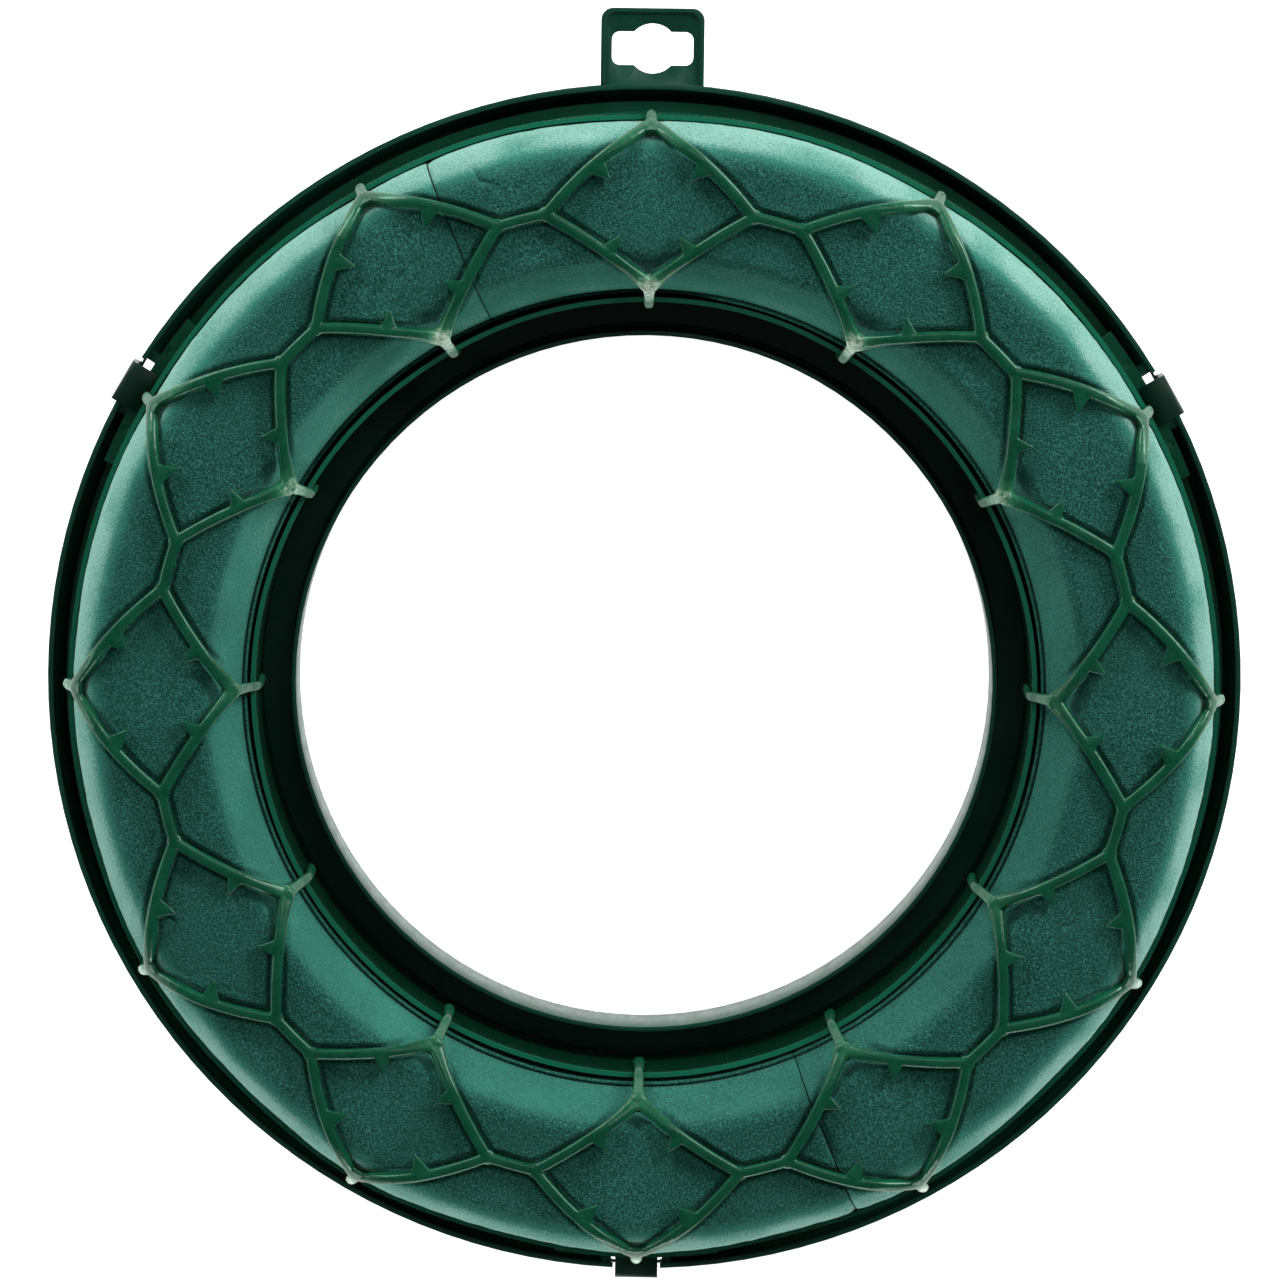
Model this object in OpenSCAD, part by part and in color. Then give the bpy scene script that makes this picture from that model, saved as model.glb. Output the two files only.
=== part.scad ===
// Floral foam ring: a water tray, a pan of wet foam under a cage net, and three clips that hold
// the pan down. The ring's axis is Z, the tray stands on Z = 0 and the hanging tab points to +Y.

/* [Ring] */
// Diameter across the tray's outer rim
ring_d = 300; // [298:0.5:302]
// Diameter of the open centre
hole_d = 175; // [173:0.5:177]
// Height of the foam's flat top
foam_top = 47; // [46.5:0.5:48]

/* [Tray] */
// Height of the tray's outer rim
rim_h = 16; // [15.8:0.1:16.2]
// Height of the tray's rim around the open centre
hole_rim_h = 18; // [17:0.5:18.5]
// Thickness of the tray's walls
tray_t = 1.3; // [1.2:0.1:1.4]
// Thickness of the tray's floor
floor_t = 1.5; // [1.3:0.1:1.6]
// Height of the upright band below the outer rim
band_h = 6; // [5.5:0.5:6.5]

/* [Hanging tab] */
// Width of the tab
tab_w = 25.7; // [24:0.1:27]
// Reach of the tab beyond the rim
tab_l = 18.7; // [18:0.1:20]
// Thickness of the tab's plate
tab_t = 1.4; // [1.2:0.1:1.8]
// Width of the flat slot
slot_w = 20.3; // [19:0.1:21]
// Height of the flat slot
slot_h = 8.3; // [7:0.1:9]
// Diameter of the round hole in the middle of the slot
slot_hole_d = 12.4; // [11:0.1:13]
// Width of the raised bead around the tab
bead_w = 1.1; // [0.8:0.1:1.3]

/* [Pan] */
// Height of the pan's rims
pan_h = 33; // [32.8:0.1:33.2]
// Thickness of the pan's walls and floor
pan_t = 1.2; // [1.1:0.1:1.3]
// Half the angle that each clip lug covers
lug_half = 8.1; // [7.5:0.1:9]
// Diameter of the drain holes
drain_d = 6; // [4:0.5:8]
// Number of drain holes
drains = 12; // [6:1:18]

/* [Clips] */
// Width of each clip
clip_w = 10.7; // [10.5:0.1:10.8]
// Radius of the clip's hinge pin
pin_r = 0.4; // [0.38:0.01:0.42]

/* [Foam] */
// Direction of the first seam between the two halves of foam
seam_angle = 113; // [108:0.5:117]
// Gap at each seam
seam_gap = 0.3; // [0.2:0.05:0.6]

/* [Cage] */
// Width of the net's ribs
rib_w = 2.4; // [2:0.1:2.6]
// Thickness of the net's ribs
rib_t = 1.9; // [1.6:0.1:2.1]
// Length of the thorns that point into each cell
thorn_l = 4.6; // [3.5:0.1:5]

/* [Hidden] */
$fn = 180;
eps = 0.01;

CLIP_ANGLES = [30, 150, 270];
CELLS = 12;
CELL_STEP = 360 / CELLS;
rim_r = ring_d / 2;
hole_r = hole_d / 2;

// Tray
window_half = 2.5;
window_r0 = rim_r - 3.9;
window_r1 = rim_r - 1.1;
pocket_half = window_half + 0.9;
pocket_r0 = window_r0 - 1.1;
pocket_h = rim_h - 0.4;
recess_half = 2.3;
recess_r = rim_r - 1.6;
band_z = rim_h - band_h;
draft = 1.0;

// Pan, between the radii of its inner and outer faces
pan_r0 = hole_r + 9.1;
pan_r1 = rim_r - 6.9;
rib_gap = 0.2;
floor_rib_h = 1.0;
pan_z = floor_t + floor_rib_h + rib_gap;
lug_r = rim_r - 3.8;
lug_z = rim_h + 3;
lug_t = 1.4;
ledge_r = rim_r - 4.4;
ledge_z = rim_h - 3.7;

// Clips, each slid along its pin by a little play
CLIP_PLAY = [-0.55, 0.55, 0];
pivot_r = rim_r - 1;
pivot_z = rim_h - 4;
pin_half = clip_w / 2 + 2.35;
pin_clear = 0.05;
socket_half = pin_half + 0.7;
hook_z = lug_z + lug_t + 0.9;
hook_r = pan_r1 + 0.8;
clip_r = rim_r + 1.1;

// Foam
foam_r0 = pan_r0 + 2.2;
foam_r1 = pan_r1 - 1.6;
foam_z = pan_z + pan_t + 0.2;
lip_z = pan_h + 0.4;
groove_r = foam_r0 + 1.1;
shoulder = [10, 12];
inner_bevel = [8.6, foam_top - pan_h - 1];

// Cage, with each cell's corners given along the ring (u) and across it (v)
cage_r = 121.3;
cell_u = 25.64;
cell_out = 19.7;
cell_in = 20.2;
grow_u = rib_w * 0.82;
grow_v = rib_w * 0.63;
cage_gap = 0.2;
thorn_out = 0.49;
thorn_in = 0.44;
thorn_spread = 0.065;
leg_w = 2.4;
leg_t = 1.2;
leg_foot_z = rim_h + 1.2;
arm_t = 0.7;
arm_foot_z = pan_h - 2.1;
knob_r = 1.15;

// A band around part of the ring, centred on direction a
module sector(a, half, r0, r1, z0, z1)
    rotate([0, 0, a - half])
        rotate_extrude(angle = 2 * half)
            translate([r0, z0]) square([r1 - r0, z1 - z0]);

// A flat outline of [radius, height] points, given a width along the ring at direction a
module upright(a, w)
    rotate([0, 0, a]) rotate([90, 0, 0]) linear_extrude(w, center = true) children();

module round_rect(w, h, r) {
    square([w - 2 * r, h], center = true);
    square([w, h - 2 * r], center = true);
    for (x = [-1, 1], y = [-1, 1]) translate([x * (w / 2 - r), y * (h / 2 - r)]) circle(r);
}

// A rounded corner from a to b in n steps, pulled towards c
function bend(a, c, b, n) =
    [for (i = [0 : n]) let (t = i / n) (1 - t) * (1 - t) * a + 2 * t * (1 - t) * c + t * t * b];

// The foam's top from its outer wall over the round shoulder and the inner bevel to the groove
function foam_crown() =
    let (wall = [foam_r1, foam_top - shoulder[1]],
         inner = [groove_r + 0.2 + inner_bevel[0], foam_top],
         foot = [groove_r + 0.2, foam_top - inner_bevel[1]])
    concat(
        bend(wall, [foam_r1 - shoulder[0] / 4, foam_top], [foam_r1 - shoulder[0], foam_top], 9),
        bend(inner + [2.2, 0], inner, inner + (foot - inner) * 0.15, 5),
        [foot]);

// ---- Tray

module tray_trough()
    rotate_extrude() polygon([
        [hole_r, 0], [rim_r - 3.6, 0], [rim_r - 2.4, 1.2], [rim_r - draft, band_z],
        [rim_r, band_z], [rim_r, rim_h], [rim_r - tray_t, rim_h],
        [rim_r - tray_t, band_z + 1], [rim_r - draft - tray_t, band_z - 0.3],
        [rim_r - 3.7, floor_t + 1], [rim_r - 4.9, floor_t],
        [hole_r + 2.3, floor_t], [hole_r + 1.1, floor_t + 1.2],
        [hole_r + 1.1, hole_rim_h], [hole_r, hole_rim_h]]);

module tray_pockets()
    for (a = CLIP_ANGLES)
        rotate([0, 0, a - pocket_half])
            rotate_extrude(angle = 2 * pocket_half) polygon([
                [pocket_r0, 1], [rim_r - 3, 1], [rim_r - 1.6, band_z],
                [rim_r - 0.6, band_z + 0.6], [rim_r - 0.6, pocket_h], [pocket_r0, pocket_h]]);

module tray_floor_ribs()
    for (a = [0 : 60 : 300]) rotate([0, 0, a])
        translate([hole_r + 12, -0.8, floor_t - eps])
            cube([44, 1.6, floor_rib_h + eps]);

module tab_outline(inset)
    difference() {
        translate([0, (tab_l - inset) / 2 - 3])
            round_rect(tab_w - 2 * inset, tab_l - inset + 6, 3);
        translate([-tab_w, -20]) square([2 * tab_w, 20]);
    }

module tray_tab()
    translate([0, rim_r, 0]) {
        translate([0, 0, rim_h - tab_t - 0.5]) linear_extrude(tab_t) tab_outline(0);
        translate([0, 0, rim_h - 1]) linear_extrude(1)
            difference() { tab_outline(0); tab_outline(bead_w); }
        translate([-tab_w / 2, -0.9, rim_h - tab_t - 0.5]) cube([tab_w, 1.2, tab_t]);
    }

module tab_slot()
    translate([0, rim_r + tab_l - 10, rim_h - 4]) linear_extrude(6) {
        round_rect(slot_w, slot_h, 2);
        circle(d = slot_hole_d);
    }

module clip_cutouts()
    for (a = CLIP_ANGLES) {
        rotate([0, 0, a - window_half]) rotate_extrude(angle = 2 * window_half) polygon([
            [window_r0, -1], [rim_r + 1, -1], [rim_r + 1, band_z + 0.2],
            [window_r1, band_z + 0.2], [window_r1, rim_h + 1], [window_r0, rim_h + 1]]);
        sector(a, recess_half, recess_r, rim_r + 1, band_z - 1, rim_h + 1);
        rotate([0, 0, a]) translate([pivot_r, 0, pivot_z]) rotate([90, 0, 0])
            cylinder(r = pin_r + pin_clear, h = 2 * socket_half, center = true, $fn = 48);
    }

module reservoir_tray()
    color([0.06, 0.22, 0.11])
    difference() {
        union() {
            tray_trough();
            tray_pockets();
            tray_floor_ribs();
            tray_tab();
        }
        clip_cutouts();
        tab_slot();
    }

// ---- Clips

module clip(i)
    color([0.05, 0.19, 0.10])
    rotate([0, 0, CLIP_ANGLES[i]]) translate([0, CLIP_PLAY[i], 0]) {
        upright(0, clip_w) polygon([
            [pivot_r - 0.35, pivot_z - 0.2], [pivot_r - 0.2, pivot_z + 1.2],
            [clip_r - 1.5, pivot_z + 2.8], [clip_r - 1.5, hook_z], [hook_r, hook_z],
            [hook_r, hook_z + 0.8], [rim_r - 2.4, hook_z + 1.3], [rim_r - 0.3, hook_z + 1.4],
            [clip_r - 0.3, hook_z + 1.1], [clip_r, hook_z + 0.4],
            [clip_r, pivot_z + 2.6], [pivot_r + 0.6, pivot_z + 0.2],
            [pivot_r + 0.35, pivot_z - 0.3], [pivot_r, pivot_z - 0.45]]);
        translate([pivot_r, 0, pivot_z]) rotate([90, 0, 0])
            cylinder(r = pin_r, h = 2 * pin_half, center = true, $fn = 48);
    }

module clip_right() clip(0);
module clip_left() clip(1);
module clip_bottom() clip(2);

// ---- Pan

module pan_trough()
    rotate_extrude() polygon([
        [pan_r0, pan_z], [pan_r1, pan_z], [pan_r1, pan_h], [pan_r1 - pan_t, pan_h],
        [pan_r1 - pan_t, pan_z + pan_t], [pan_r0 + pan_t, pan_z + pan_t],
        [pan_r0 + pan_t, pan_h], [pan_r0, pan_h]]);

module pan_ledge()
    for (a = CLIP_ANGLES)
        sector(a + 60, 55, pan_r1 - 0.4, ledge_r, ledge_z, ledge_z + pan_t);

module pan_lugs()
    for (a = CLIP_ANGLES)
        difference() {
            sector(a, lug_half, pan_r1 - 0.4, lug_r, lug_z, lug_z + lug_t);
            for (s = [-1, 1]) rotate([0, 0, a + s * 0.55 * lug_half])
                translate([lug_r - 1.6, 0, lug_z + lug_t - 0.12])
                    cylinder(r = 1, h = 1, $fn = 48);
        }

// Slots that the cage's feet and knobs snap into
module pan_catches()
    for (i = [0 : CELLS - 1]) {
        sector(i * CELL_STEP, 1.2, pan_r0 - 1, pan_r0 + pan_t + 0.5,
               leg_foot_z - 0.3, leg_foot_z + 2.6);
        sector(i * CELL_STEP, 0.65, pan_r1 - pan_t - 0.2, pan_r1 + 0.3,
               arm_foot_z - 0.2, arm_foot_z + 1.5);
    }

module foam_pan()
    color([0.18, 0.42, 0.24])
    difference() {
        union() {
            pan_trough();
            pan_ledge();
            pan_lugs();
        }
        pan_catches();
        for (i = [0 : drains - 1]) rotate([0, 0, (i + 0.5) * 360 / drains])
            translate([(pan_r0 + pan_r1) / 2, 0, pan_z - 1])
                cylinder(d = drain_d, h = pan_t + 2, $fn = 48);
    }

// ---- Foam

module foam_half(a)
    color([0.13, 0.42, 0.30])
    rotate([0, 0, a + foam_gap_angle() / 2])
        rotate_extrude(angle = 180 - foam_gap_angle())
            polygon(concat([[foam_r0, foam_z], [foam_r1, foam_z]], foam_crown(),
                           [[groove_r, lip_z - 0.8], [groove_r - 0.4, lip_z],
                            [foam_r0, lip_z]]));

function foam_gap_angle() = seam_gap / cage_r * 180 / PI;

module foam_half_a() foam_half(seam_angle);
module foam_half_b() foam_half(seam_angle + 180);

// ---- Cage

// A point of a cell: u along the ring from direction a, v outward from the cells' middle radius
function net_point(a, u, v) =
    let (r = cage_r + v, t = a + u / cage_r * 180 / PI) [r * cos(t), r * sin(t)];

function cell_outline(a, g) =
    let (c = [[cell_u + g * grow_u, 0], [0, cell_out + g * grow_v],
              [-cell_u - g * grow_u, 0], [0, -cell_in - g * grow_v]])
    [for (i = [0 : 3], k = [0 : 2])
        let (p = c[i] + (c[(i + 1) % 4] - c[i]) * k / 3) net_point(a, p[0], p[1])];

// Each thorn leaves its rib at part f of the way from the cell's middle line
module cell_thorns(a)
    for (s = [-1, 1], end = [[cell_out, thorn_out], [-cell_in, thorn_in]])
        let (v = end[0], f = end[1])
        polygon([
            net_point(a, s * (f + thorn_spread) * cell_u, (1 - f - thorn_spread) * v),
            net_point(a, s * (f - thorn_spread) * cell_u, (1 - f + thorn_spread) * v),
            net_point(a, s * (f * cell_u - thorn_l * 0.66), (1 - f) * v - sign(v) * thorn_l * 0.75)]);

module cell_link(a)
    polygon([for (i = [0 : 5])
        let (t = i < 3 ? i - 1 : 4 - i, v = i < 3 ? -rib_w / 2 : rib_w / 2)
        net_point(a, t * 6.6, v)]);

module net_plan()
    for (i = [0 : CELLS - 1]) {
        difference() {
            polygon(cell_outline(i * CELL_STEP, 1));
            polygon(cell_outline(i * CELL_STEP, -1));
        }
        cell_thorns(i * CELL_STEP);
        cell_link((i + 0.5) * CELL_STEP);
    }

// The net's middle surface: level on the foam's flat top, then down over both edges of the ring
net_z = foam_top + cage_gap + rib_t / 2;
NET_LINE = [
    [pan_r0 + 2.8, net_z - 5.2], [pan_r0 + 4.6, net_z - 3.9], [pan_r0 + 6.6, net_z - 2.6],
    [pan_r0 + 10.4, net_z - 0.55], [pan_r0 + 12.4, net_z], [pan_r1 - 10.1, net_z],
    [pan_r1 - 7.6, net_z - 0.6], [pan_r1 - 5.1, net_z - 2.6], [pan_r1 - 3.1, net_z - 5.2],
    [pan_r1 - 1.5, net_z - 8.4], [pan_r1 + 0.1, net_z - 12]];

module cage_shell()
    rotate_extrude() polygon([
        for (p = NET_LINE) p - [0, rib_t / 2],
        for (i = [len(NET_LINE) - 1 : -1 : 0]) NET_LINE[i] + [0, rib_t / 2]]);

// From the net's inner corner over the pan's inner rim, down to a foot that snaps into the wall
module cage_leg(a)
    let (face = pan_r0 - 0.2, back = face - leg_t, barb = pan_r0 + pan_t + 0.3)
    upright(a, leg_w) polygon([
        [pan_r0 + 6.6, net_z - 1.9], [pan_r0 + 4.3, net_z - 3.2], [pan_r0 + 2.3, net_z - 6.6],
        [pan_r0 + 0.8, pan_h + 4.6], [back + 0.7, pan_h + 2.6], [back, pan_h + 0.8],
        [back, leg_foot_z], [barb, leg_foot_z], [barb, leg_foot_z + 0.8],
        [face, leg_foot_z + 2.2], [face, pan_h + 0.3], [pan_r0 + 1.3, pan_h + 1.6],
        [pan_r0 + 2.8, pan_h + 5.2], [pan_r0 + 4.6, net_z - 5.6], [pan_r0 + 6.4, net_z - 4]]);

// From the net's outer corner down over the foam's shoulder, to a tongue that snaps into the rim
module cage_arm(a) {
    let (face = pan_r1 + 0.15, back = face + arm_t, barb = pan_r1 - 0.6, edge = foam_r1 + 0.3)
    upright(a, leg_w) polygon([
        [edge - 3, net_z - 1.9], [edge - 0.9, net_z - 5.1], [edge + 0.7, net_z - 9.1],
        [back - 0.35, pan_h + 2.6], [back, pan_h + 1.4], [back, arm_foot_z],
        [barb, arm_foot_z], [barb, arm_foot_z + 0.7], [face, arm_foot_z + 1.4],
        [face, pan_h + 0.25], [edge, pan_h + 0.35], [edge, pan_h + 3],
        [edge - 0.6, pan_h + 5.2], [edge - 2, pan_h + 8.6], [edge - 3.4, pan_h + 11.6]]);
    rotate([0, 0, a]) translate([pan_r1 - 0.35, 0, pan_h + 1.8]) sphere(knob_r, $fn = 32);
}

module cage_net()
    color([0.24, 0.52, 0.26]) {
        intersection() {
            cage_shell();
            translate([0, 0, pan_h]) linear_extrude(foam_top - pan_h + 4) net_plan();
        }
        for (i = [0 : CELLS - 1]) {
            cage_leg(i * CELL_STEP);
            cage_arm(i * CELL_STEP);
        }
    }

reservoir_tray();
clip_right();
clip_left();
clip_bottom();
foam_pan();
foam_half_a();
foam_half_b();
cage_net();
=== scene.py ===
"""Looks for a floral foam ring: foam in a pan, under a cage net, clipped into a water tray.

The frame is the CAD model's: metres, the ring's axis on Z, the table at Z = 0 and the hanging tab
towards +Y. Lengths below are in millimetres unless a name ends in _M.
"""

import itertools
import math

import bmesh
import bpy
import numpy as np
from mathutils import Matrix, Vector


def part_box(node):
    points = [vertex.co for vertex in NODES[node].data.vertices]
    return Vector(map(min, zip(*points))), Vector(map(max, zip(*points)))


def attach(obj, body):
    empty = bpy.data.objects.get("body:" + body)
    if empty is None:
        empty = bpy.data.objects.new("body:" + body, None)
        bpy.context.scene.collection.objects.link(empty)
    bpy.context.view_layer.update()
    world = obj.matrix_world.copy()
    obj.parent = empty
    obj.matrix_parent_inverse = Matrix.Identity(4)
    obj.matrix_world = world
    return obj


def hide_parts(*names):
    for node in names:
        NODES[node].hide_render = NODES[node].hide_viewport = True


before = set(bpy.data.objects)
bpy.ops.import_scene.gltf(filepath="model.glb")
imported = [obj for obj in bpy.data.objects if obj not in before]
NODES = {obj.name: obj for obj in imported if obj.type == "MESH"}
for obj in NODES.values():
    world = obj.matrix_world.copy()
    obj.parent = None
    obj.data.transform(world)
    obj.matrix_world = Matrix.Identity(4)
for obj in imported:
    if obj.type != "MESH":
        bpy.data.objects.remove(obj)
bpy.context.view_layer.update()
MM = 0.001

# ---- Driving sizes, the same as in the CAD model

FOAM_Z, FOAM_TOP = (corner[2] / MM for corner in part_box("foam_half_a"))
PAN_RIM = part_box("foam_pan")[1][2] / MM
PAN_R0, PAN_R1 = 96.6, 143.1
FOAM_R0, FOAM_R1 = PAN_R0 + 2.2, PAN_R1 - 1.6
LIP_Z = PAN_RIM + 0.4
GROOVE_R = FOAM_R0 + 1.1
SHOULDER = (10.0, 12.0)
INNER_BEVEL = (8.6, FOAM_TOP - PAN_RIM - 1.0)
SEAM_ANGLE = 113.0
SEAM_GAP_DEG = 0.14

CELLS = 12
NET_R = 121.3
CELL_U, CELL_OUT, CELL_IN = 25.64, 19.7, 20.2
BOW_OUT, BOW_IN = 0.45, 0.25
THORN_OUT, THORN_IN, THORN_LENGTH = 0.49, 0.44, 4.6
LINK_U = NET_R * math.radians(180 / CELLS)
NET_Z = FOAM_TOP + 1.15
# Radius and drop of the net's middle line, from its inner edge to its outer edge
NET_LINE = [
    (PAN_R0 + 2.8, -5.2), (PAN_R0 + 4.6, -3.9), (PAN_R0 + 6.6, -2.6), (PAN_R0 + 10.4, -0.55),
    (PAN_R0 + 12.4, 0), (PAN_R1 - 10.1, 0), (PAN_R1 - 7.6, -0.6), (PAN_R1 - 5.1, -2.6),
    (PAN_R1 - 3.1, -5.2), (PAN_R1 - 1.5, -8.4), (PAN_R1 + 0.1, -12),
]

# The pan's rims are bowed in full above the second height, and not at all below the first
BOW_HEIGHTS = (21.5, 31)


# ---- Small helpers


def smooth_step(x, low, high):
    t = np.clip((x - low) / (high - low), 0, 1)
    return t * t * (3 - 2 * t)


def bend(a, c, b, steps):
    """A rounded corner from a to b, pulled towards c."""
    a, b, c = (np.array(p, float) for p in (a, b, c))
    ts = np.linspace(0, 1, steps + 1)
    return [(1 - t) ** 2 * a + 2 * t * (1 - t) * c + t * t * b for t in ts]


def resampled(points, step):
    """The same line with points at most step apart, its corners kept."""
    out = []
    for a, b in zip(points, points[1:]):
        n = max(1, math.ceil(np.linalg.norm(np.array(b) - np.array(a)) / step))
        out += [np.array(a) + (np.array(b) - np.array(a)) * k / n for k in range(n)]
    return out + [np.array(points[-1])]


def value_noise(points_mm, size, seed):
    """Smooth noise from -1 to 1 with features of the given size."""
    p = points_mm / size + seed * np.array([17.3, -9.1, 5.7])
    cell = np.floor(p)
    part = p - cell
    part = part * part * (3 - 2 * part)
    total = np.zeros(len(p))
    for corner in itertools.product((0, 1), repeat=3):
        key = (cell + corner).astype(np.int64) @ np.array([73856093, 19349663, 83492791])
        key = ((key ^ (key >> 13)) * 1274126177) & 0xFFFFFFFF
        key = ((key ^ (key >> 16)) * 2246822519) & 0xFFFFFFFF
        weight = np.prod(np.where(corner, part, 1 - part), axis=1)
        total += weight * (key / 2**31 - 1)
    return total


def shade_smooth(mesh):
    mesh.polygons.foreach_set("use_smooth", [True] * len(mesh.polygons))


def linked(name, data):
    """A new object in the scene."""
    obj = bpy.data.objects.new(name, data)
    bpy.context.scene.collection.objects.link(obj)
    return obj


def point_attribute(obj, name, values):
    layer = obj.data.attributes.new(name, "FLOAT", "POINT")
    layer.data.foreach_set("value", np.clip(values, 0, 1).astype(np.float32))


def mesh_object(name, verts_mm, faces, material):
    mesh = bpy.data.meshes.new(name)
    mesh.from_pydata([tuple(v) for v in np.array(verts_mm) * MM], [], faces)
    mesh.validate()
    shade_smooth(mesh)
    mesh.materials.append(material)
    return linked(name, mesh)


def apply_modifiers(obj):
    graph = bpy.context.evaluated_depsgraph_get()
    made = bpy.data.meshes.new_from_object(obj.evaluated_get(graph))
    obj.modifiers.clear()
    obj.data = made


# ---- Materials


class Shader:
    """A Principled material and short ways to add the nodes that feed it."""

    def __init__(self, name):
        self.material = bpy.data.materials.new(name)
        self.material.use_nodes = True
        self.tree = self.material.node_tree
        self.tree.nodes.clear()
        self.surface = self.tree.nodes.new("ShaderNodeBsdfPrincipled")
        out = self.tree.nodes.new("ShaderNodeOutputMaterial")
        self.join(self.surface.outputs[0], out.inputs["Surface"])
        self.coords = self.tree.nodes.new("ShaderNodeTexCoord").outputs["Object"]

    def join(self, a, b):
        self.tree.links.new(a, b)

    def set(self, **values):
        for key, value in values.items():
            self.surface.inputs[key.replace("_", " ")].default_value = value

    def noise(self, size_mm, detail=3.0, roughness=0.55, stretch=None):
        node = self.tree.nodes.new("ShaderNodeTexNoise")
        node.inputs["Scale"].default_value = 1 / (size_mm * MM)
        node.inputs["Detail"].default_value = detail
        node.inputs["Roughness"].default_value = roughness
        self.join(self.stretched(stretch), node.inputs["Vector"])
        return node.outputs["Fac"]

    def cells(self, size_mm):
        """Distance from the nearest of a field of scattered points."""
        node = self.tree.nodes.new("ShaderNodeTexVoronoi")
        node.inputs["Scale"].default_value = 1 / (size_mm * MM)
        self.join(self.coords, node.inputs["Vector"])
        return node.outputs["Distance"]

    def stretched(self, stretch):
        if stretch is None:
            return self.coords
        node = self.tree.nodes.new("ShaderNodeMapping")
        node.inputs["Scale"].default_value = stretch
        self.join(self.coords, node.inputs["Vector"])
        return node.outputs[0]

    def ramp(self, factor, stops):
        node = self.tree.nodes.new("ShaderNodeValToRGB")
        elements = node.color_ramp.elements
        while len(elements) < len(stops):
            elements.new(0.5)
        for element, (place, colour) in zip(elements, stops):
            element.position = place
            level = colour if hasattr(colour, "__len__") else (colour,) * 3
            element.color = (*level, 1)
        self.join(factor, node.inputs["Fac"])
        return node.outputs["Color"]

    def math(self, operation, a, b, clamp=False):
        node = self.tree.nodes.new("ShaderNodeMath")
        node.operation = operation
        node.use_clamp = clamp
        for socket, value in zip(node.inputs, (a, b)):
            if isinstance(value, (int, float)):
                socket.default_value = value
            else:
                self.join(value, socket)
        return node.outputs[0]

    def mix(self, factor, a, b):
        node = self.tree.nodes.new("ShaderNodeMix")
        node.data_type = "RGBA"
        # Of a mix node's inputs, 0 is the factor and 6 and 7 are the two colours
        for place, value in ((0, factor), (6, a), (7, b)):
            socket = node.inputs[place]
            if isinstance(value, (int, float)):
                socket.default_value = value
            elif isinstance(value, tuple):
                socket.default_value = (*value, 1)
            else:
                self.join(value, socket)
        return node.outputs[2]

    def attribute(self, name):
        node = self.tree.nodes.new("ShaderNodeAttribute")
        node.attribute_name = name
        return node.outputs["Fac"]

    def bump(self, height, distance_mm, strength=1.0):
        node = self.tree.nodes.new("ShaderNodeBump")
        node.inputs["Strength"].default_value = strength
        node.inputs["Distance"].default_value = distance_mm * MM
        self.join(height, node.inputs["Height"])
        self.join(node.outputs[0], self.surface.inputs["Normal"])

    def colour(self, socket):
        self.join(socket, self.surface.inputs["Base Color"])

    def roughness(self, socket):
        self.join(socket, self.surface.inputs["Roughness"])


def foam_material():
    s = Shader("floral_foam")
    s.set(Roughness=0.95, Specular_IOR_Level=0.12)
    s.set(Sheen_Weight=0.08, Sheen_Roughness=0.45, Sheen_Tint=(0.62, 1.0, 0.88, 1))
    grain = s.noise(0.52, detail=3, roughness=0.75)
    pores = s.cells(0.55)
    clouds = s.noise(24, detail=3)
    pit, face, ridge = (0.0025, 0.028, 0.019), (0.012, 0.086, 0.064), (0.050, 0.215, 0.175)
    colour = s.ramp(grain, [(0.34, pit), (0.50, face), (0.66, ridge)])
    colour = s.mix(s.ramp(clouds, [(0.35, 0.0), (0.7, 0.35)]), colour, (0.009, 0.070, 0.050))
    colour = s.mix(s.ramp(pores, [(0.05, 0.45), (0.35, 0.0)]), colour, (0.003, 0.028, 0.018))
    # Painted light and dust: this level lightens the foam to a paler green, then to a whitish
    # powder; on the shoulder that is partly dust and partly a painted highlight and sheen, on the
    # inner slope it is painted light, at seams and cracks it is dust.
    dust_and_light_level = s.math("MULTIPLY", s.attribute("dust_and_painted_light"), s.ramp(grain, [(0.37, 0.70), (0.63, 1.25)]))
    rubbed_and_lit = s.math("MULTIPLY", dust_and_light_level, 2.0, clamp=True)
    colour = s.mix(rubbed_and_lit, colour, (0.034, 0.190, 0.140))
    powder_and_highlight = s.math("SUBTRACT", s.math("MULTIPLY", dust_and_light_level, 2.0), 1.0, clamp=True)
    colour = s.mix(powder_and_highlight, colour, (0.185, 0.360, 0.305))
    s.colour(colour)
    height = s.math("ADD", s.math("MULTIPLY", grain, 0.7), s.math("MULTIPLY", pores, 0.3))
    s.bump(height, 0.50, 1.0)
    return s.material


def net_material():
    s = Shader("net_polyethylene")
    s.set(Specular_IOR_Level=0.36, Specular_Tint=(0.72, 1.0, 0.84, 1))
    s.set(Subsurface_Weight=0.05, Subsurface_Scale=1.5 * MM, Subsurface_Radius=(0.3, 1.0, 0.6))
    tone = s.noise(6, detail=3)
    colour = s.ramp(tone, [(0.35, (0.0015, 0.050, 0.023)), (0.65, (0.0030, 0.072, 0.035))])
    marks = s.ramp(s.noise(1.3, detail=4, roughness=0.7), [(0.36, 0.45), (0.62, 1.25)])
    whitened = s.math("MULTIPLY", s.attribute("stress"), marks, clamp=True)
    colour = s.mix(s.math("MULTIPLY", whitened, 2.5, clamp=True), colour, (0.035, 0.185, 0.095))
    pale = s.math("MULTIPLY", s.math("SUBTRACT", whitened, 0.30), 1.6, clamp=True)
    s.colour(s.mix(pale, colour, (0.52, 0.64, 0.52)))
    s.roughness(s.ramp(s.noise(2.0), [(0.3, 0.24), (0.7, 0.36)]))
    s.bump(s.noise(0.8, detail=3), 0.05, 0.5)
    return s.material


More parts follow.
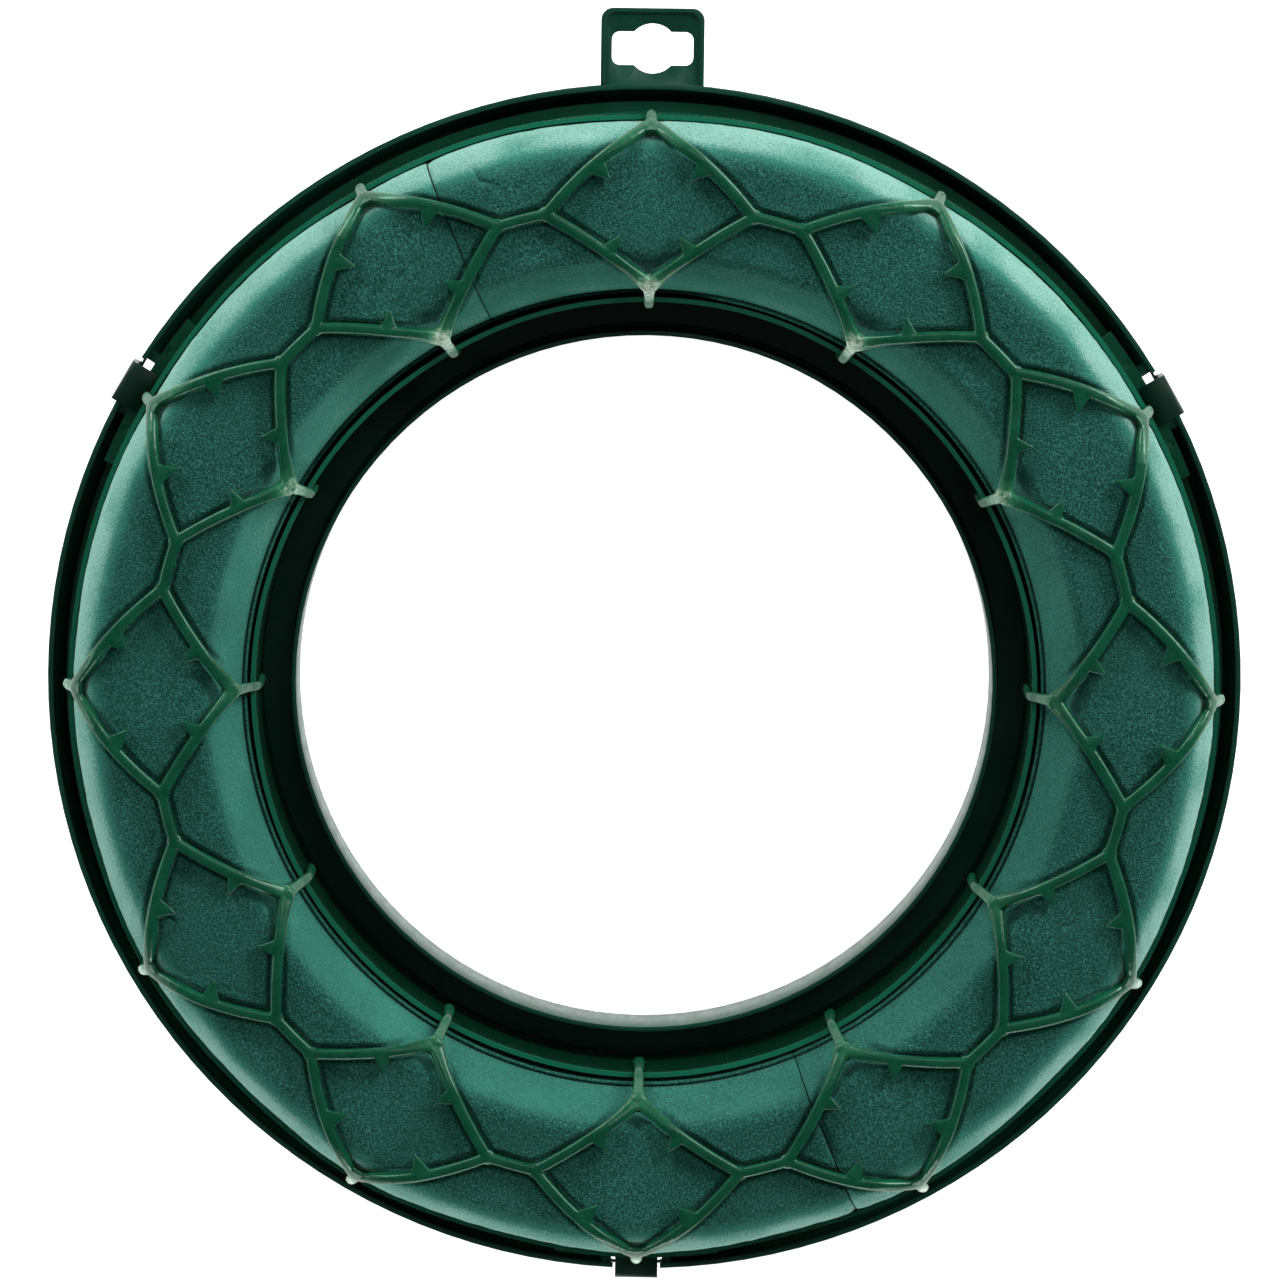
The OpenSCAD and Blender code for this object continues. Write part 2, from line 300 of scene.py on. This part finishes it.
def plastic_material(name, dark, light, rough, grain_mm, grain_depth, specks):
    """Moulded plastic with a slow colour drift, fine orange peel, scuffs and dust specks.

    One point attribute is above 0 on a paler rim, partly rubbed and partly a painted highlight, and
    below 0 where painted shade darkens a wall down in a recess.
    """
    s = Shader(name)
    s.set(Specular_IOR_Level=0.28)
    drift = s.noise(30, detail=3)
    colour = s.ramp(drift, [(0.35, dark), (0.68, light)])
    speck = s.ramp(s.cells(3.2), [(0.0, 1.0), (0.045, 0.0)])
    speck = s.math("MULTIPLY", speck, s.ramp(s.noise(9), [(0.5, 0.0), (0.62, specks)]))
    colour = s.mix(speck, colour, (0.30, 0.42, 0.36))
    # Painted light: the rim is mixed to a paler green, partly as rubbing and partly as a painted
    # highlight; a recessed wall is mixed to a darker green as painted shade.
    wear_and_painted_light = s.attribute("wear_and_painted_light")
    colour = s.mix(s.math("MULTIPLY", wear_and_painted_light, 1, clamp=True), colour, tuple(2.6 * c for c in light))
    colour = s.mix(s.math("MULTIPLY", wear_and_painted_light, -1, clamp=True), colour, tuple(0.45 * c for c in dark))
    s.colour(colour)
    scuffs = s.noise(2.5, detail=5, roughness=0.7, stretch=(1, 1, 0.25))
    s.roughness(s.ramp(scuffs, [(0.30, rough[0]), (0.72, rough[1])]))
    s.bump(s.noise(grain_mm, detail=2), grain_depth, 0.6)
    return s.material


def floor_material():
    s = Shader("studio_floor")
    s.set(Roughness=0.8, Specular_IOR_Level=0.2, Emission_Strength=0.95)
    s.surface.inputs["Emission Color"].default_value = (1, 1, 1, 1)
    s.colour(s.ramp(s.noise(200), [(0.3, 0.90), (0.7, 0.92)]))
    return s.material


# ---- Foam


def foam_outline():
    """Closed [radius, height] outline of the foam's section, as in the CAD model."""
    wall = np.array([FOAM_R1, FOAM_TOP - SHOULDER[1]])
    corner = np.array([FOAM_R1 - SHOULDER[0] / 4, FOAM_TOP])
    flat = np.array([FOAM_R1 - SHOULDER[0], FOAM_TOP])
    inner = np.array([GROOVE_R + 0.2 + INNER_BEVEL[0], FOAM_TOP])
    foot = np.array([GROOVE_R + 0.2, FOAM_TOP - INNER_BEVEL[1]])
    top = (
        bend(wall, corner, flat, 16)
        + bend(inner + [2.2, 0], inner, inner + (foot - inner) * 0.15, 6)
        + [foot, (GROOVE_R, LIP_Z - 0.8), (GROOVE_R - 0.4, LIP_Z)]
    )
    hidden = resampled(
        [(FOAM_R0, LIP_Z), (FOAM_R0, FOAM_Z), (FOAM_R1, FOAM_Z), tuple(top[0])], 9.0
    )
    step = 0.55
    return resampled([tuple(p) for p in top], step)[:-1] + [top[-1]] + hidden[:-1]


def rib_distance(angle_deg, radius):
    """Distance in the plan from the middle line of the net's nearest rib."""
    step = 360 / CELLS
    u = np.abs((angle_deg + step / 2) % step - step / 2) * math.pi / 180 * NET_R
    v = radius - NET_R
    best = np.hypot(np.maximum(CELL_U - u, 0), v)
    for end in (CELL_OUT, -CELL_IN):
        d = np.array([-CELL_U, end])
        t = np.clip(((u - CELL_U) * d[0] + v * d[1]) / (d @ d), 0, 1)
        out = np.array([abs(end), CELL_U]) * (BOW_OUT if end > 0 else BOW_IN) / np.linalg.norm(d)
        out = np.sin(np.pi * t)[:, None] * out * (1, np.sign(end))
        away = np.hypot(u - CELL_U - t * d[0] - out[:, 0], v - t * d[1] - out[:, 1])
        best = np.minimum(best, away)
    return best


CRACK_WIDTH = 0.55
CRACKS = [
    # (direction in degrees, radius, run along the ring, run outward, depth)
    (106.5, 129.0, 6.0, 9.0, 0.9),
    (104.0, 136.0, -4.0, 5.0, 0.7),
    (55.0, 131.0, -7.0, 3.0, 0.6),
    (2.0, 134.0, 5.0, 4.0, 1.0),
    (331.0, 117.0, 8.0, 5.0, 0.6),
    (205.0, 133.0, 4.0, -5.0, 0.9),
    (262.0, 113.0, -6.0, 5.0, 0.6),
]


def crack_depth(angle_deg, radius):
    """How deep the short cracks and tears in the foam's skin go at each point."""
    depth = np.zeros_like(radius)
    for i, (a, r, run_u, run_v, deep) in enumerate(CRACKS):
        u = ((angle_deg - a + 180) % 360 - 180) * math.pi / 180 * r
        v = radius - r
        d = np.array([run_u, run_v])
        t = np.clip((u * d[0] + v * d[1]) / (d @ d), 0, 1)
        wobble = 0.7 * np.sin(t * 9 + i) * np.sin(t * 3.1)
        away = np.abs((u * d[1] - v * d[0]) / np.linalg.norm(d) + wobble)
        beyond = np.hypot(u - t * d[0], v - t * d[1])
        line = np.exp(-((away / CRACK_WIDTH) ** 2)) * (beyond < 1.6)
        line = line * np.sin(np.pi * np.clip(t, 0.05, 0.95))
        depth = np.maximum(depth, deep * line)
    return depth


# Height, size and seed of each layer of the skin's unevenness
SKIN_LAYERS = [(0.16, 14, 0), (0.10, 3.1, 1), (0.05, 1.2, 2)]
IMPRINT_DEPTH, IMPRINT_HALF = 1.35, 2.0
LIP_LOSS = 5.5
FOAM_COLUMNS = 860


def foam_half(name, node, first_angle, material, seed):
    """Half of the foam ring, with the net's imprint, worn seams, cracks and an uneven skin."""
    outline = np.array(foam_outline())
    rows, columns = len(outline), FOAM_COLUMNS
    angles = first_angle + SEAM_GAP_DEG / 2 + np.linspace(0, 180 - SEAM_GAP_DEG, columns + 1)
    a, k = (g.ravel() for g in np.meshgrid(angles, np.arange(rows), indexing="ij"))
    radius, height = outline[k, 0], outline[k, 1]

    tangent = np.roll(outline, -1, 0) - np.roll(outline, 1, 0)
    normal = np.stack([tangent[:, 1], -tangent[:, 0]], 1)
    normal /= np.linalg.norm(normal, axis=1)[:, None]
    normal *= np.sign(normal[np.argmax(outline[:, 1]), 1])
    n_r, n_z = normal[k, 0], normal[k, 1]

    c, s = np.cos(np.radians(a)), np.sin(np.radians(a))
    at = np.stack([radius * c, radius * s, height], 1)
    shown = smooth_step(height, LIP_Z - 0.6, LIP_Z + 1.5)
    on_top = smooth_step(height, FOAM_TOP - 2.0, FOAM_TOP - 0.5)
    skin = sum(amount * value_noise(at, size, seed + i) for amount, size, i in SKIN_LAYERS)
    skin = skin - 0.02 - 0.28 * on_top
    shoulder = smooth_step(radius, FOAM_R1 - 11, FOAM_R1 - 7)
    shoulder = shoulder * (1 - smooth_step(radius, FOAM_R1 - 3, FOAM_R1))
    dents = 0.50 * value_noise(at, 7.5, seed + 9) - 0.30
    lumps = shoulder * (0.35 + 0.65 * np.maximum(s, 0)) * dents

    rib = rib_distance(a, radius)
    near_net = smooth_step(radius, GROOVE_R + 3, GROOVE_R + 7) * (1 - smooth_step(radius, 135, 139))
    uneven = 0.85 + 0.35 * value_noise(at, 19, seed + 4)
    pressed = near_net * IMPRINT_DEPTH * np.exp(-((rib / IMPRINT_HALF) ** 8)) * uneven
    swollen = near_net * 0.16 * np.exp(-(((rib - 2.8) / 0.9) ** 2))
    to_seam = np.minimum(a - angles[0], angles[-1] - a) * math.pi / 180 * radius
    worn = np.exp(-((to_seam / 1.1) ** 2)) * (0.45 + 0.35 * value_noise(at, 5, seed + 6))
    torn = crack_depth(a, radius)
    out = shown * (skin + lumps + swollen - pressed - worn - torn)
    out = np.minimum(out, 0.22 * (1 - on_top))

    # The lip inside the groove has crumbled away near the first seam
    from_seam = (a - SEAM_ANGLE + 180) % 360 - 180
    crumbled = smooth_step(from_seam, -34, -26) * (1 - smooth_step(from_seam, 28, 44))
    on_lip = (radius < GROOVE_R + 0.05) * (height > LIP_Z - 0.9)
    height = height + n_z * out - LIP_LOSS * crumbled * on_lip
    rim = rim_wave(a) * smooth_step(height, *BOW_HEIGHTS)
    rim = rim * smooth_step(radius, FOAM_R1 - 5, FOAM_R1)
    radius = radius + n_r * out + rim

    verts = np.stack([radius * c, radius * s, height], 1)
    faces = [
        (i * rows + j, i * rows + (j + 1) % rows,
         (i + 1) * rows + (j + 1) % rows, (i + 1) * rows + j)
        for i in range(columns) for j in range(rows)
    ]
    faces += [tuple(range(rows - 1, -1, -1)), tuple(columns * rows + j for j in range(rows))]
    obj = mesh_object(name, verts, faces, material)
    fix_normals(obj)
    for polygon in obj.data.polygons[-2:]:
        polygon.use_smooth = False

    # Dust and painted light: the outer shoulder is lightened all round, partly as dust and partly
    # as a painted highlight from the low side lamps; the inner slope and its foot are lightened as
    # painted light, more in some directions round the ring than others; seams and cracks get real
    # dust.
    inner_slope = smooth_step(GROOVE_R + INNER_BEVEL[0] - radius, -1.0, 3.0)
    outer_slope = smooth_step(radius, FOAM_R1 - 9.2, FOAM_R1 - 2.5)
    foot = smooth_step(GROOVE_R + 4.5 - radius, -1.0, 3.5) * np.maximum(s, 0)
    painted_inner_light = 0.20 + 0.24 * np.maximum(np.cos(np.radians(a - 195)), 0)
    dust_and_painted_light = painted_inner_light * inner_slope + 0.38 * foot + 1.0 * outer_slope + 0.10 * worn + 0.10 * torn
    dust_and_painted_light = shown * dust_and_painted_light * (0.95 + 0.3 * value_noise(at, 9, seed + 8))
    point_attribute(obj, "dust_and_painted_light", dust_and_painted_light)

    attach(obj, "foam_unit")
    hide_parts(node)


def fix_normals(obj):
    bm = bmesh.new()
    bm.from_mesh(obj.data)
    bmesh.ops.recalc_face_normals(bm, faces=bm.faces)
    bm.to_mesh(obj.data)
    bm.free()


# ---- Net


def net_height(radius):
    """Height of the middle of the net: level on the foam, then down over both edges."""
    line = np.array(NET_LINE)
    near = [np.interp(radius + d, line[:, 0], line[:, 1]) for d in (-0.8, -0.4, 0, 0.4, 0.8)]
    return NET_Z + sum(near) / len(near)


def net_place(angle_deg, u, v, lift=0.0):
    radius = NET_R + v
    a = math.radians(angle_deg) + u / NET_R
    return Vector((radius * math.cos(a), radius * math.sin(a), float(net_height(radius)) + lift))


def up_at(angle_deg, u, v):
    """Direction that faces away from the foam at a point of the net."""
    a = math.radians(angle_deg) + u / NET_R
    slope = float(net_height(NET_R + v + 0.5) - net_height(NET_R + v - 0.5))
    return Vector((-slope * math.cos(a), -slope * math.sin(a), 1)).normalized()


# Across and up from a rib's middle line; the top is a rounded ridge, the foot sinks into the foam
RIB_SECTION = [(-1.22, -1.40), (1.22, -1.40), (1.42, 0.0), (1.18, 0.58), (0.68, 0.88), (0, 0.96),
               (-0.68, 0.88), (-1.18, 0.60), (-1.42, 0.0)]


def sweep(bm, path, section, ups, widths):
    """A closed tube along path; ups gives the section's up direction, widths its width."""
    rings = []
    for i, p in enumerate(path):
        ahead = path[min(i + 1, len(path) - 1)] - path[max(i - 1, 0)]
        side = ahead.cross(ups[i]).normalized()
        up = side.cross(ahead).normalized()
        rings.append([bm.verts.new(p + side * x * widths[i] + up * y) for x, y in section])
    n = len(section)
    for a, b in zip(rings, rings[1:]):
        for j in range(n):
            bm.faces.new((a[j], a[(j + 1) % n], b[(j + 1) % n], b[j]))
    bm.faces.new(reversed(rings[0]))
    bm.faces.new(rings[-1])


def rib(bm, angle_deg, start, end, bow=0.0, steps=16, wide_end=1.0):
    """A rib from start to end, bowed out of its cell and widened towards its end."""
    start, end = Vector(start), Vector(end)
    across = Vector((start.y - end.y, end.x - start.x)).normalized()
    across *= bow * (1 if across.dot(start + end) > 0 else -1)
    ts = [k / steps for k in range(steps + 1)]
    points = [start.lerp(end, t) + across * math.sin(math.pi * t) for t in ts]
    path = [net_place(angle_deg, *p) for p in points]
    ups = [up_at(angle_deg, *p) for p in points]
    widths = [1 + (wide_end - 1) * max(0, (t - 0.72) / 0.28) ** 1.5 for t in ts]
    sweep(bm, path, RIB_SECTION, ups, widths)


def ball(bm, centre, radii):
    made = bmesh.ops.create_icosphere(bm, subdivisions=2, radius=1.0)
    for v in made["verts"]:
        v.co = Vector([c + x * r for c, x, r in zip(centre, v.co, radii)])


def thorn(bm, angle_deg, side, end, part):
    """A flat pointed spur that leaves a rib and points into its cell."""
    base = Vector((side * part * CELL_U, (1 - part) * end))
    along = Vector((side * CELL_U, -end)).normalized() * 2.5
    tip = base + Vector((-side * 0.78 * THORN_LENGTH, -math.copysign(0.88 * THORN_LENGTH, end)))
    edge = [base - along, base + along, tip]
    lifts = (0.7, 0.7, 0.45)
    low = [bm.verts.new(net_place(angle_deg, *p, -0.95)) for p in edge]
    high = [bm.verts.new(net_place(angle_deg, *p, lift)) for p, lift in zip(edge, lifts)]
    ridge = bm.verts.new(net_place(angle_deg, *base, 0.95))
    bm.faces.new(low)
    for i in range(3):
        j = (i + 1) % 3
        bm.faces.new((low[j], low[i], high[i], high[j]))
        bm.faces.new((high[j], high[i], ridge))


def strap(bm, angle_deg, stations, thickness):
    """A strap in the upright plane at one direction, through (radius, height, width) stations."""
    a = math.radians(angle_deg)
    out = Vector((math.cos(a), math.sin(a), 0))
    across = Vector((-math.sin(a), math.cos(a), 0))
    path = [out * r + Vector((0, 0, z)) for r, z, _ in stations]
    half = thickness / 2
    section = [(-0.9, -half), (0.9, -half), (1.0, 0), (0.75, half * 0.85), (0, half * 1.1),
               (-0.75, half * 0.85), (-1.0, 0)]
    outward = 1 if stations[-1][0] > NET_R else -1
    ups = []
    for i in range(len(path)):
        up = across.cross(path[min(i + 1, len(path) - 1)] - path[max(i - 1, 0)])
        ups.append(up if up.z + outward * up.dot(out) > 0 else -up)
    sweep(bm, path, section, ups, [w / 2 for _, _, w in stations])


# Radius, height and width along each inner leg and each outer arm
LEG = [(PAN_R0 + 6.6, 45.6, 4.6), (PAN_R0 + 5.2, 44.6, 4.0), (PAN_R0 + 3.6, 42.4, 3.1),
       (PAN_R0 + 2.2, 39.4, 2.7), (PAN_R0 + 1.1, 36.8, 2.6), (PAN_R0 + 0.1, 35.1, 2.7),
       (PAN_R0 - 0.6, 33.8, 2.3), (PAN_R0 - 0.8, 32.4, 2.3), (PAN_R0 - 0.8, 27.0, 2.8),
       (PAN_R0 - 0.8, 20.0, 3.0), (PAN_R0 - 0.8, 17.9, 2.4)]
ARM = [(PAN_R1 - 4.2, 44.6, 3.0), (PAN_R1 - 2.4, 41.6, 3.0), (PAN_R1 - 1.1, 38.4, 3.0),
       (PAN_R1 - 0.2, 36.2, 2.9), (PAN_R1 + 0.35, 34.4, 2.6), (PAN_R1 + 0.5, 32.6, 2.3),
       (PAN_R1 + 0.5, 31.2, 2.1)]


NET_VOXEL = 0.24


def net_moulding(material):
    """The whole cage net as one rounded moulding."""
    bm = bmesh.new()
    for i in range(CELLS):
        a = i * 360 / CELLS
        out = Vector((math.cos(math.radians(a)), math.sin(math.radians(a)), 0))
        for side in (-1, 1):
            joint = (side * CELL_U, 0.0)
            rib(bm, a, joint, (0.0, CELL_OUT), bow=BOW_OUT, wide_end=1.2)
            rib(bm, a, joint, (0.0, -CELL_IN), bow=BOW_IN, wide_end=1.5)
            ball(bm, net_place(a, *joint, -0.1), (2.1, 2.1, 1.0))
            thorn(bm, a, side, CELL_OUT, THORN_OUT)
            thorn(bm, a, side, -CELL_IN, THORN_IN)
        rib(bm, a, (CELL_U, 0.0), (2 * LINK_U - CELL_U, 0.0), steps=6)
        ball(bm, net_place(a, 0, -CELL_IN + 0.9, -0.15), (2.4, 2.4, 1.05))
        strap(bm, a, LEG, 1.35)
        wave = float(rim_wave(a))
        arm = [(r + wave * smooth_step(PAN_R1 - 4 - r, 0, -3), z, w) for r, z, w in ARM]
        strap(bm, a, arm, 1.3)
        ball(bm, out * (PAN_R1 - 0.3 + wave) + Vector((0, 0, PAN_RIM + 2.0)), (1.45, 1.45, 1.45))
    mesh = bpy.data.meshes.new("net_moulding")
    bm.to_mesh(mesh)
    bm.free()
    mesh.transform(Matrix.Scale(MM, 4))
    obj = linked("net_moulding", mesh)
    weld = obj.modifiers.new("weld", "REMESH")
    weld.mode = "VOXEL"
    weld.voxel_size = NET_VOXEL * MM
    relax = obj.modifiers.new("relax", "SMOOTH")
    relax.factor = 0.5
    relax.iterations = 2
    apply_modifiers(obj)
    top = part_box("cage_net")[1][2]
    for v in obj.data.vertices:
        v.co.z = min(v.co.z, top)
    shade_smooth(obj.data)
    obj.data.materials.clear()
    obj.data.materials.append(material)
    mark_stress(obj)
    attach(obj, "foam_unit")
    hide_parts("cage_net")


INNER_CORNER_R, ARM_BEND_R, KNOB_R = 100.5, 137.5, 143.6


def mark_stress(obj):
    """Whitening where the net was bent: at the inner corners and at the outer knobs."""
    co = np.zeros(len(obj.data.vertices) * 3)
    obj.data.vertices.foreach_get("co", co)
    p = co.reshape(-1, 3) / MM
    radius, a = np.hypot(p[:, 0], p[:, 1]), np.degrees(np.arctan2(p[:, 1], p[:, 0]))
    step = 360 / CELLS
    u = np.radians(np.abs((a + step / 2) % step - step / 2)) * radius
    turn = np.sin(np.radians(a))
    inner = np.exp(-((np.hypot(u * 0.8, (radius - INNER_CORNER_R) * 0.75) / 2.7) ** 2))
    outer = np.exp(-((np.hypot(u, radius - KNOB_R) / 1.5) ** 2))
    bends = np.exp(-((np.hypot((u - 5.0) * 0.5, radius - ARM_BEND_R) / 2.2) ** 2))
    stress = inner * np.clip(0.10 + 1.0 * turn, 0.15, 1)
    stress = stress + 0.15 * bends * np.clip(0.4 + turn, 0.1, 1)
    stress = stress + outer * np.clip(0.45 - 0.68 * turn, 0.0, 1)
    point_attribute(obj, "stress", stress)


# ---- CAD parts


def rim_wave(angle_deg):
    """How far the pan's outer rim is bowed out, in mm: the arms pull it in or push it out."""
    a = np.radians(angle_deg)
    return (0.1 - 0.4 * np.sin(a)) * np.cos(CELLS * a)


def inner_rim_wave(angle_deg):
    """How far the pan's inner rim is bowed out, in mm."""
    a = np.radians(angle_deg)
    return 0.16 * np.cos(3 * a + 2.2) + 0.11 * np.cos(5 * a - 0.6) + 0.08 * np.sin(11 * a)


CUT_STEP_DEG = 2
CUT_HEIGHTS = (22, 25, 28, 31)
SHARP_DEG = 40
BEVEL_ABOVE_DEG = 35


def bowed_pan(material, bevel):
    """The pan with its thin rims bowed a little, as soft plastic is."""
    mesh = NODES["foam_pan"].data.copy()
    mesh.transform(NODES["foam_pan"].matrix_world)
    obj = linked("foam_pan_bowed", mesh)
    rounded(obj, material, bevel)
    apply_modifiers(obj)
    bm = bmesh.new()
    bm.from_mesh(obj.data)
    turns = np.radians(np.arange(0, 180, CUT_STEP_DEG))
    cuts = [(Vector((-math.sin(a), math.cos(a), 0)), Vector()) for a in turns]
    cuts += [(Vector((0, 0, 1)), Vector((0, 0, z * MM))) for z in CUT_HEIGHTS]
    for normal, point in cuts:
        everything = bm.verts[:] + bm.edges[:] + bm.faces[:]
        bmesh.ops.bisect_plane(bm, geom=everything, dist=1e-7, plane_co=point, plane_no=normal)
    for v in bm.verts:
        radius, a = math.hypot(v.co.x, v.co.y), math.degrees(math.atan2(v.co.y, v.co.x))
        wave = rim_wave(a) if radius > NET_R * MM else inner_rim_wave(a)
        moved = 1 + wave * MM * float(smooth_step(v.co.z / MM, *BOW_HEIGHTS)) / radius
        v.co.x *= moved
        v.co.y *= moved
    # Painted light: the top of the rim is paler, partly rubbed and partly a painted highlight that
    # fades on the outer rim away from +Y; the inner wall down in the gutter is darkened as painted
    # shade.
    wear_and_painted_light = bm.verts.layers.float.new("wear_and_painted_light")
    for v in bm.verts:
        height, radius = v.co.z / MM, math.hypot(v.co.x, v.co.y) / MM
        painted_gutter_shade = (radius < PAN_R0 + 1) * (1 - smooth_step(height, PAN_RIM - 2, PAN_RIM - 0.6))
        turn = v.co.y / MM / radius
        rubbed_and_lit = 1 if radius < NET_R else 0.15 + 0.75 * smooth_step(turn, -0.3, 0.5)
        v[wear_and_painted_light] = float(rubbed_and_lit * smooth_step(height, PAN_RIM - 0.32, PAN_RIM - 0.05) - painted_gutter_shade)
    bm.to_mesh(obj.data)
    bm.free()
    # The bevel's stored normals don't fit the bowed mesh
    obj.data.attributes.remove(obj.data.attributes["custom_normal"])
    obj.data.set_sharp_from_angle(angle=math.radians(SHARP_DEG))
    shade = obj.modifiers.new("shade", "WEIGHTED_NORMAL")
    shade.keep_sharp = True
    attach(obj, "foam_unit")
    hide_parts("foam_pan")


def rounded(obj, material, bevel):
    """Gives a part its material, and rounds its edges as a moulding's are."""
    obj.data.materials.clear()
    obj.data.materials.append(material)
    weld = obj.modifiers.new("weld", "WELD")
    weld.merge_threshold = 0.002 * MM
    edge = obj.modifiers.new("edge", "BEVEL")
    edge.width = bevel * MM
    edge.segments = 2
    edge.limit_method = "ANGLE"
    edge.angle_limit = math.radians(BEVEL_ABOVE_DEG)
    edge.use_clamp_overlap = True
    edge.harden_normals = True
    shade_smooth(obj.data)


# ---- Studio


# The photographed view: nearly straight down, leaning towards the tab. Angles are in radians.
CAMERA_TILT, CAMERA_TURN, CAMERA_ROLL = 0.1197, -0.00248, -0.0135
CAMERA_AIM_UP, CAMERA_AIM_LEFT = 0.00701309, 0.00067657
CAMERA_DISTANCE_M = 1.524
CAMERA_TARGET_Z = 16
LENS_MM, SENSOR_MM = 170.4375, 36.0


def make_camera():
    view = (Matrix.Rotation(CAMERA_ROLL, 3, "Z") @ Matrix.Rotation(CAMERA_TILT, 3, "X")
            @ Matrix.Rotation(CAMERA_TURN, 3, "Y")).transposed()
    aim = Matrix.Rotation(CAMERA_AIM_UP, 3, "X") @ Matrix.Rotation(CAMERA_AIM_LEFT, 3, "Y")
    target = Vector((0, 0, CAMERA_TARGET_Z * MM))
    pose = view @ aim
    data = bpy.data.cameras.new("camera")
    data.lens = LENS_MM
    data.sensor_width = SENSOR_MM
    data.clip_end = 20
    cam = linked("camera", data)
    place = target + view @ Vector((0, 0, CAMERA_DISTANCE_M))
    cam.matrix_world = Matrix.Translation(place) @ pose.to_4x4()
    bpy.context.scene.camera = cam
    bpy.context.scene.view_settings.view_transform = "Standard"


def soft_light(name, azimuth, elevation, distance, size, power):
    """A rectangular light that faces the ring. Its distance and size are in metres."""
    data = bpy.data.lights.new(name, "AREA")
    data.shape = "RECTANGLE"
    data.size, data.size_y = size
    data.energy = power
    obj = linked(name, data)
    a, e = math.radians(azimuth), math.radians(elevation)
    towards = Vector((math.cos(a) * math.cos(e), math.sin(a) * math.cos(e), math.sin(e)))
    place = towards * distance
    obj.location = place
    obj.rotation_euler = (-place).to_track_quat("-Z", "Y").to_euler()
    return obj


FLOOR_HALF_M = 4.0
# Name, azimuth and elevation in degrees, distance and size in metres, and power in watts
SIDE_LIGHTS = [
    ("light_right", 38, 20, 1.5, (0.9, 0.3), 24),
    ("light_back", 125, 17, 1.5, (0.9, 0.3), 17),
    ("light_left", 182, 18, 1.5, (0.9, 0.3), 6),
    ("light_front", 275, 9, 1.6, (1.2, 0.2), 15),
    ("light_high", 70, 58, 1.6, (0.7, 0.12), 3.0),
]


def make_studio():
    mesh = bpy.data.meshes.new("studio_floor")
    r = FLOOR_HALF_M
    mesh.from_pydata([(-r, -r, 0), (r, -r, 0), (r, r, 0), (-r, r, 0)], [], [(0, 1, 2, 3)])
    mesh.materials.append(floor_material())
    linked("studio_floor", mesh)

    world = bpy.data.worlds.new("studio")
    bpy.context.scene.world = world
    world.use_nodes = True
    background = world.node_tree.nodes["Background"]
    background.inputs["Color"].default_value = (0.92, 0.97, 1.0, 1)
    background.inputs["Strength"].default_value = 0.10

    for light in SIDE_LIGHTS:
        soft_light(*light)
    # The overhead light only fills in, and would otherwise turn the dark plastic grey
    soft_light("light_top", 90, 86, 1.9, (0.8, 0.8), 1.4).visible_glossy = False


def main():
    make_camera()
    make_studio()
    foam = foam_material()
    foam_half("foam_block_a", "foam_half_a", SEAM_ANGLE, foam, 1)
    foam_half("foam_block_b", "foam_half_b", SEAM_ANGLE + 180, foam, 31)
    net_moulding(net_material())
    tray = plastic_material("tray_plastic", (0.0032, 0.040, 0.024), (0.0048, 0.054, 0.033),
                            (0.28, 0.42), 1.2, 0.03, 0.7)
    clip = plastic_material("clip_plastic", (0.0015, 0.017, 0.010), (0.0025, 0.023, 0.014),
                            (0.32, 0.44), 0.9, 0.03, 0.5)
    pan = plastic_material("pan_plastic", (0.0012, 0.038, 0.019), (0.0022, 0.052, 0.028),
                           (0.18, 0.30), 1.0, 0.02, 0.4)
    rounded(NODES["reservoir_tray"], tray, 0.28)
    bowed_pan(pan, 0.34)
    for node in ("clip_right", "clip_left", "clip_bottom"):
        rounded(NODES[node], clip, 0.25)


main()
